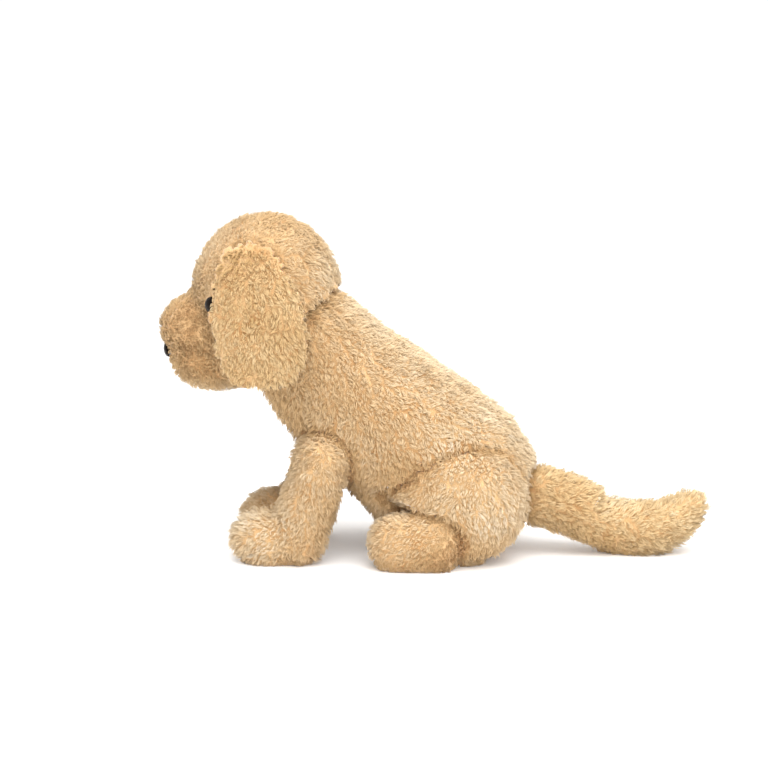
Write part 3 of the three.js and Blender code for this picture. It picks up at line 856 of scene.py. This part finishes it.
def bead(node, radius=None):
    """The middle and radius of a bead, which is the outer end of its node.

    That is the side of an eye and the front of the nose.
    """
    low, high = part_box(node)
    radius = radius or (high.z - low.z) / 2
    x = (low.x + high.x) / 2
    if low.x > 0:
        x = high.x - radius
    if high.x < 0:
        x = low.x + radius
    return np.array((x, low.y + radius, (low.z + high.z) / 2)), radius


def body_of(node):
    return next(name for name, nodes in frame["record"]["behaviour"]["bodies"].items() if node in nodes)


def slot_of(node):
    """The record's finish for a CAD node."""
    return next(part["material_slot"] for part in frame["record"]["subparts"] if part["node"] == node)


def one_to_one(*nodes):
    return {node: [node] for node in nodes}


class Plush:
    """Some bodies under one coat, each with its panels and its filling.

    The cloth is cut along the planes in cuts, and creases are filled between the groups of nodes.
    """

    def __init__(
        self, name, bodies, coat, cuts=(), groups=(), reach=JOINT_REACH, voxel=VOXEL, deepest=DEEPEST
    ):
        self.name = name
        self.bodies = bodies
        self.coat = coat
        self.cuts = cuts
        self.groups = groups
        self.reach = reach
        self.voxel = voxel
        self.deepest = deepest
        self.panels = {panel: nodes for panels, _ in bodies for panel, nodes in panels.items()}

    def build_surfaces(self, beads):
        """The coat's surface, and the surface of each body's cloth."""
        form = self.form(self.bodies)
        if self.groups:
            fill_joints(form.data, [solid_tree(*group) for group in self.groups], self.reach)
        self.surface = self.drawn(form, self.bodies, beads)
        self.surface.settle([node for _, filling in self.bodies for node in filling])
        self.cloth = [self.surface]
        if len(self.bodies) > 1:
            self.cloth = []
            for body in self.bodies:
                own = self.drawn(self.form([body]), [body], beads)
                own.settle(body[1])
                self.cloth.append(own)

    def drawn(self, form, bodies, beads):
        """The surface of a form, drawn in once its panels are known."""
        surface = Surface(form, [panels for panels, _ in bodies], self.cuts)
        draw_in(form.data, self.coat, self.deepest, beads)
        return surface

    def form(self, bodies):
        groups = [group for panels, filling in bodies for group in (*panels.values(), filling)]
        return remeshed(self.name + "_form", [node for group in groups for node in group], self.voxel)


def dog_plush():
    """Every soft part of the dog: the body with its legs, the head and the tail, and then the ears."""
    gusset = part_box("body_belly_gusset")[1].x
    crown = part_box("head_crown_gusset")[1].x
    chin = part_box("head_chin_gusset")[1].z
    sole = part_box("left_foot_sole")[1].z
    middle = ((0, 0, 0), ACROSS)
    body = [(one_to_one("body_left_panel", "body_right_panel", "body_belly_gusset"), ["body_filling"])]
    ears = []
    for side in SIDES:
        leg = one_to_one(side + "_foreleg_outer", side + "_foreleg_inner", side + "_forepaw_sole")
        body.append((leg, [side + "_foreleg_filling"]))
        body.append((one_to_one(side + "_haunch_cover"), [side + "_haunch_filling"]))
        body.append((one_to_one(side + "_foot_upper", side + "_foot_sole"), [side + "_foot_filling"]))
        ear = [(one_to_one(side + "_ear_outer", side + "_ear_lining"), [])]
        ears.append(Plush(side + "_ear", ear, EAR_COAT, voxel=EAR_VOXEL, deepest=EAR_DEEPEST))
    head = one_to_one("head_left_panel", "head_right_panel", "head_crown_gusset", "head_chin_gusset")
    tail = {f"tail_{s}_cover": [f"tail_base_{s}_panel", f"tail_tip_{s}_panel"] for s in SIDES}
    bodies = [
        Plush(
            "body",
            body,
            BODY_COAT,
            [middle, ((gusset, 0, 0), ACROSS), ((-gusset, 0, 0), ACROSS), ((0, 0, sole), LEVEL)],
            [[node for group in panels.values() for node in group] for panels, _ in body],
        ),
        Plush(
            "head",
            [(head, ["head_filling"])],
            HEAD_COAT,
            [((crown, 0, 0), ACROSS), ((-crown, 0, 0), ACROSS), ((0, 0, chin), LEVEL)],
        ),
        Plush(
            "tail",
            [(tail, ["tail_base_filling", "tail_tip_filling"])],
            TAIL_COAT,
            [middle],
            [[f"tail_{end}_{side}_panel" for side in SIDES] for end in ("base", "tip")],
            TAIL_JOINT_REACH,
        ),
    ]
    return bodies, ears


def attach(piece, nodes):
    """Lets a piece move with the body of its nodes.

    A piece of an ear or of the tail's cover is not attached to a body; its transform only goes into its
    mesh.
    """
    body = body_of(nodes[-1])
    if body.endswith("_ear"):
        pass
    elif body == "tail_tip":
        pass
    else:
        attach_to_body(piece, body)
        return
    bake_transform(piece)


def make_coat():
    """Cloth and pile of every panel.

    Another form that the pile meets is a wall, close under which none grows, or a flap, which only makes it
    shorter. The pile near a wall, under an ear and along a crease gets a painted shade: its tone is made
    darker.
    """
    backing = backing_material()
    hair = [pile_material("sandy_pile", (1, 1, 1)), pile_material("golden_pile", (1.0, 0.975, 0.87))]
    bodies, ears = dog_plush()
    everything = [*bodies, *ears]
    beads = [bead("left_eye"), bead("right_eye"), bead("nose", NOSE_RADIUS)]
    for plush in everything:
        plush.build_surfaces(beads)
    for plush in everything:
        others = [p for p in everything if p is not plush]
        walls = [p.surface.tree for p in others if p in bodies and plush in bodies]
        flaps = [p.surface.tree for p in others if p in ears or plush in ears]
        shades = [p.surface.tree for p in ears if plush in bodies]
        for own in plush.cloth:
            for name in own.names:
                nodes = plush.panels[name]
                slot = slot_of(nodes[0])
                cloth = build_cloth(name, plush.surface, own, backing)
                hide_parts(*nodes)
                attach(cloth, nodes)
                for pile in grow(plush.surface, name, plush.coat, walls, flaps, shades, beads):
                    set_material(pile, hair[slot == "golden_plush"])
                    attach(pile, nodes)


def make_hard_parts():
    """Beads, nose, washers, filling and pouch keep their CAD shapes and get finished materials."""
    finishes = {
        "black_plastic": new_material(
            "bead_plastic",
            0.2,
            Base_Color=linear(14, 10, 9),
            Specular_IOR_Level=0.15,
            Specular_Tint=linear(255, 226, 196),
        ),
        "washer_plastic": new_material("washer_plastic", 0.42, Base_Color=linear(222, 223, 224)),
        "fibre_filling": new_material(
            "fibre_filling", 0.95, Base_Color=linear(240, 239, 235), Sheen_Weight=0.5
        ),
        "pouch_cloth": new_material("pouch_cloth", 0.9, Base_Color=linear(229, 224, 211)),
    }
    fibres = finishes["fibre_filling"].node_tree
    add_bump(fibres, add_texture(fibres, "Noise", 260, Detail=6, Distortion=1.5).outputs["Fac"], 1.5 * MM)
    weave = finishes["pouch_cloth"].node_tree
    add_bump(weave, add_texture(weave, "Voronoi", 1400).outputs["Distance"], 0.2 * MM)
    for name, node in frame["nodes"].items():
        if slot_of(name) in finishes:
            set_material(node, finishes[slot_of(name)])


make_camera()
make_studio()
make_coat()
make_hard_parts()
